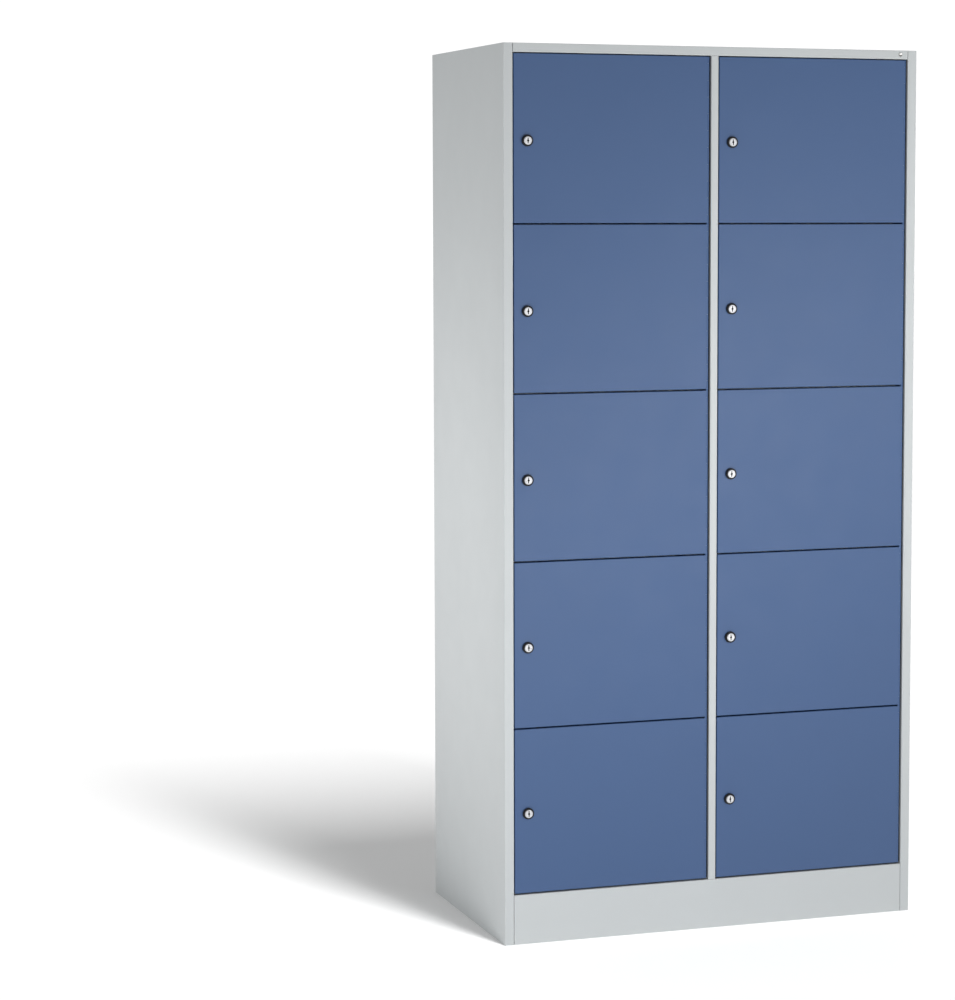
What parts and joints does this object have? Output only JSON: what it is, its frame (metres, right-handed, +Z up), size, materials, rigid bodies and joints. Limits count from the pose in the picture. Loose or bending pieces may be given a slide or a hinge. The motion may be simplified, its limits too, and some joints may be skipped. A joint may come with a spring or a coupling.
{
  "type": "coin operated locker",
  "caption": "Free-standing steel locker in two columns of equal compartments, with blue doors on piano hinges, a light grey body on a plinth, and coin-return locks that a key turns.",
  "frame": {"origin": "middle of the footprint on the floor, counting the locks that stand proud of the doors", "axes": "+X to the right seen from the front, +Y from the doors to the back, +Z up"},
  "size_m": [0.92, 0.507, 1.85],
  "materials": {
    "carcass_grey": "light grey powder coat, satin",
    "door_blue": "grey-blue powder coat, satin",
    "lock_black": "moulded black plastic, satin",
    "plug_nickel": "nickel-plated zinc, lightly worn",
    "zinc": "bright zinc plate",
    "buffer_rubber": "black rubber, matt",
    "badge_metal": "plain polished metal"
  },
  "bodies": {
    "root": {"side_panel_left": "carcass_grey", "side_panel_right": "carcass_grey", "top_panel": "carcass_grey", "top_rail": "carcass_grey", "back_panel": "carcass_grey", "floor_panel": "carcass_grey", "plinth_front": "carcass_grey", "base_crossbar": "carcass_grey", "centre_post": "carcass_grey", "partition_skin_left": "carcass_grey", "partition_skin_right": "carcass_grey", "shelves_left": "carcass_grey", "shelves_right": "carcass_grey", "hinge_leaf_left": "door_blue", "hinge_leaf_right": "door_blue", "hinge_pin_left": "zinc", "hinge_pin_right": "zinc", "strike_plates": "zinc", "door_buffers": "buffer_rubber", "rail_badge": "badge_metal"},
    "door_left_1": {"door_left_1": "door_blue", "coin_lock_left_1": "lock_black"},
    "plug_left_1": {"lock_plug_left_1": "plug_nickel"},
    "bolt_left_1": {"lock_bolt_left_1": "zinc"},
    "door_left_2": {"door_left_2": "door_blue", "coin_lock_left_2": "lock_black"},
    "plug_left_2": {"lock_plug_left_2": "plug_nickel"},
    "bolt_left_2": {"lock_bolt_left_2": "zinc"},
    "door_left_3": {"door_left_3": "door_blue", "coin_lock_left_3": "lock_black"},
    "plug_left_3": {"lock_plug_left_3": "plug_nickel"},
    "bolt_left_3": {"lock_bolt_left_3": "zinc"},
    "door_left_4": {"door_left_4": "door_blue", "coin_lock_left_4": "lock_black"},
    "plug_left_4": {"lock_plug_left_4": "plug_nickel"},
    "bolt_left_4": {"lock_bolt_left_4": "zinc"},
    "door_left_5": {"door_left_5": "door_blue", "coin_lock_left_5": "lock_black"},
    "plug_left_5": {"lock_plug_left_5": "plug_nickel"},
    "bolt_left_5": {"lock_bolt_left_5": "zinc"},
    "door_right_1": {"door_right_1": "door_blue", "coin_lock_right_1": "lock_black"},
    "plug_right_1": {"lock_plug_right_1": "plug_nickel"},
    "bolt_right_1": {"lock_bolt_right_1": "zinc"},
    "door_right_2": {"door_right_2": "door_blue", "coin_lock_right_2": "lock_black"},
    "plug_right_2": {"lock_plug_right_2": "plug_nickel"},
    "bolt_right_2": {"lock_bolt_right_2": "zinc"},
    "door_right_3": {"door_right_3": "door_blue", "coin_lock_right_3": "lock_black"},
    "plug_right_3": {"lock_plug_right_3": "plug_nickel"},
    "bolt_right_3": {"lock_bolt_right_3": "zinc"},
    "door_right_4": {"door_right_4": "door_blue", "coin_lock_right_4": "lock_black"},
    "plug_right_4": {"lock_plug_right_4": "plug_nickel"},
    "bolt_right_4": {"lock_bolt_right_4": "zinc"},
    "door_right_5": {"door_right_5": "door_blue", "coin_lock_right_5": "lock_black"},
    "plug_right_5": {"lock_plug_right_5": "plug_nickel"},
    "bolt_right_5": {"lock_bolt_right_5": "zinc"}
  },
  "joints": [
    {"name": "door_left_1_swing", "type": "hinge", "parent": "root", "child": "door_left_1", "pos_m": [-0.015, -0.2435, 1.6585], "axis": [0, 0, 1], "range_deg": [0, 105]},
    {"name": "lock_left_1_turn", "type": "hinge", "parent": "door_left_1", "child": "plug_left_1", "pos_m": [-0.4095, -0.2465, 1.654], "axis": [0, 1, 0], "range_deg": [0, 90]},
    {"name": "bolt_left_1_throw", "type": "slide", "parent": "door_left_1", "child": "bolt_left_1", "axis": [-1, 0, 0], "range_m": [0, 0.012]},
    {"name": "door_left_2_swing", "type": "hinge", "parent": "root", "child": "door_left_2", "pos_m": [-0.015, -0.2435, 1.3135], "axis": [0, 0, 1], "range_deg": [0, 105]},
    {"name": "lock_left_2_turn", "type": "hinge", "parent": "door_left_2", "child": "plug_left_2", "pos_m": [-0.4095, -0.2465, 1.309], "axis": [0, 1, 0], "range_deg": [0, 90]},
    {"name": "bolt_left_2_throw", "type": "slide", "parent": "door_left_2", "child": "bolt_left_2", "axis": [-1, 0, 0], "range_m": [0, 0.012]},
    {"name": "door_left_3_swing", "type": "hinge", "parent": "root", "child": "door_left_3", "pos_m": [-0.015, -0.2435, 0.9685], "axis": [0, 0, 1], "range_deg": [0, 105]},
    {"name": "lock_left_3_turn", "type": "hinge", "parent": "door_left_3", "child": "plug_left_3", "pos_m": [-0.4095, -0.2465, 0.964], "axis": [0, 1, 0], "range_deg": [0, 90]},
    {"name": "bolt_left_3_throw", "type": "slide", "parent": "door_left_3", "child": "bolt_left_3", "axis": [-1, 0, 0], "range_m": [0, 0.012]},
    {"name": "door_left_4_swing", "type": "hinge", "parent": "root", "child": "door_left_4", "pos_m": [-0.015, -0.2435, 0.6235], "axis": [0, 0, 1], "range_deg": [0, 105]},
    {"name": "lock_left_4_turn", "type": "hinge", "parent": "door_left_4", "child": "plug_left_4", "pos_m": [-0.4095, -0.2465, 0.619], "axis": [0, 1, 0], "range_deg": [0, 90]},
    {"name": "bolt_left_4_throw", "type": "slide", "parent": "door_left_4", "child": "bolt_left_4", "axis": [-1, 0, 0], "range_m": [0, 0.012]},
    {"name": "door_left_5_swing", "type": "hinge", "parent": "root", "child": "door_left_5", "pos_m": [-0.015, -0.2435, 0.2785], "axis": [0, 0, 1], "range_deg": [0, 105]},
    {"name": "lock_left_5_turn", "type": "hinge", "parent": "door_left_5", "child": "plug_left_5", "pos_m": [-0.4095, -0.2465, 0.274], "axis": [0, 1, 0], "range_deg": [0, 90]},
    {"name": "bolt_left_5_throw", "type": "slide", "parent": "door_left_5", "child": "bolt_left_5", "axis": [-1, 0, 0], "range_m": [0, 0.012]},
    {"name": "door_right_1_swing", "type": "hinge", "parent": "root", "child": "door_right_1", "pos_m": [0.433, -0.2435, 1.6585], "axis": [0, 0, 1], "range_deg": [0, 105]},
    {"name": "lock_right_1_turn", "type": "hinge", "parent": "door_right_1", "child": "plug_right_1", "pos_m": [0.0385, -0.2465, 1.654], "axis": [0, 1, 0], "range_deg": [0, 90]},
    {"name": "bolt_right_1_throw", "type": "slide", "parent": "door_right_1", "child": "bolt_right_1", "axis": [-1, 0, 0], "range_m": [0, 0.012]},
    {"name": "door_right_2_swing", "type": "hinge", "parent": "root", "child": "door_right_2", "pos_m": [0.433, -0.2435, 1.3135], "axis": [0, 0, 1], "range_deg": [0, 105]},
    {"name": "lock_right_2_turn", "type": "hinge", "parent": "door_right_2", "child": "plug_right_2", "pos_m": [0.0385, -0.2465, 1.309], "axis": [0, 1, 0], "range_deg": [0, 90]},
    {"name": "bolt_right_2_throw", "type": "slide", "parent": "door_right_2", "child": "bolt_right_2", "axis": [-1, 0, 0], "range_m": [0, 0.012]},
    {"name": "door_right_3_swing", "type": "hinge", "parent": "root", "child": "door_right_3", "pos_m": [0.433, -0.2435, 0.9685], "axis": [0, 0, 1], "range_deg": [0, 105]},
    {"name": "lock_right_3_turn", "type": "hinge", "parent": "door_right_3", "child": "plug_right_3", "pos_m": [0.0385, -0.2465, 0.964], "axis": [0, 1, 0], "range_deg": [0, 90]},
    {"name": "bolt_right_3_throw", "type": "slide", "parent": "door_right_3", "child": "bolt_right_3", "axis": [-1, 0, 0], "range_m": [0, 0.012]},
    {"name": "door_right_4_swing", "type": "hinge", "parent": "root", "child": "door_right_4", "pos_m": [0.433, -0.2435, 0.6235], "axis": [0, 0, 1], "range_deg": [0, 105]},
    {"name": "lock_right_4_turn", "type": "hinge", "parent": "door_right_4", "child": "plug_right_4", "pos_m": [0.0385, -0.2465, 0.619], "axis": [0, 1, 0], "range_deg": [0, 90]},
    {"name": "bolt_right_4_throw", "type": "slide", "parent": "door_right_4", "child": "bolt_right_4", "axis": [-1, 0, 0], "range_m": [0, 0.012]},
    {"name": "door_right_5_swing", "type": "hinge", "parent": "root", "child": "door_right_5", "pos_m": [0.433, -0.2435, 0.2785], "axis": [0, 0, 1], "range_deg": [0, 105]},
    {"name": "lock_right_5_turn", "type": "hinge", "parent": "door_right_5", "child": "plug_right_5", "pos_m": [0.0385, -0.2465, 0.274], "axis": [0, 1, 0], "range_deg": [0, 90]},
    {"name": "bolt_right_5_throw", "type": "slide", "parent": "door_right_5", "child": "bolt_right_5", "axis": [-1, 0, 0], "range_m": [0, 0.012]}
  ],
  "couplings": [
    {"joint": "bolt_left_1_throw", "follows": "lock_left_1_turn", "m_per_rad": 0.007635},
    {"joint": "bolt_left_2_throw", "follows": "lock_left_2_turn", "m_per_rad": 0.007635},
    {"joint": "bolt_left_3_throw", "follows": "lock_left_3_turn", "m_per_rad": 0.007635},
    {"joint": "bolt_left_4_throw", "follows": "lock_left_4_turn", "m_per_rad": 0.007635},
    {"joint": "bolt_left_5_throw", "follows": "lock_left_5_turn", "m_per_rad": 0.007635},
    {"joint": "bolt_right_1_throw", "follows": "lock_right_1_turn", "m_per_rad": 0.007635},
    {"joint": "bolt_right_2_throw", "follows": "lock_right_2_turn", "m_per_rad": 0.007635},
    {"joint": "bolt_right_3_throw", "follows": "lock_right_3_turn", "m_per_rad": 0.007635},
    {"joint": "bolt_right_4_throw", "follows": "lock_right_4_turn", "m_per_rad": 0.007635},
    {"joint": "bolt_right_5_throw", "follows": "lock_right_5_turn", "m_per_rad": 0.007635}
  ]
}
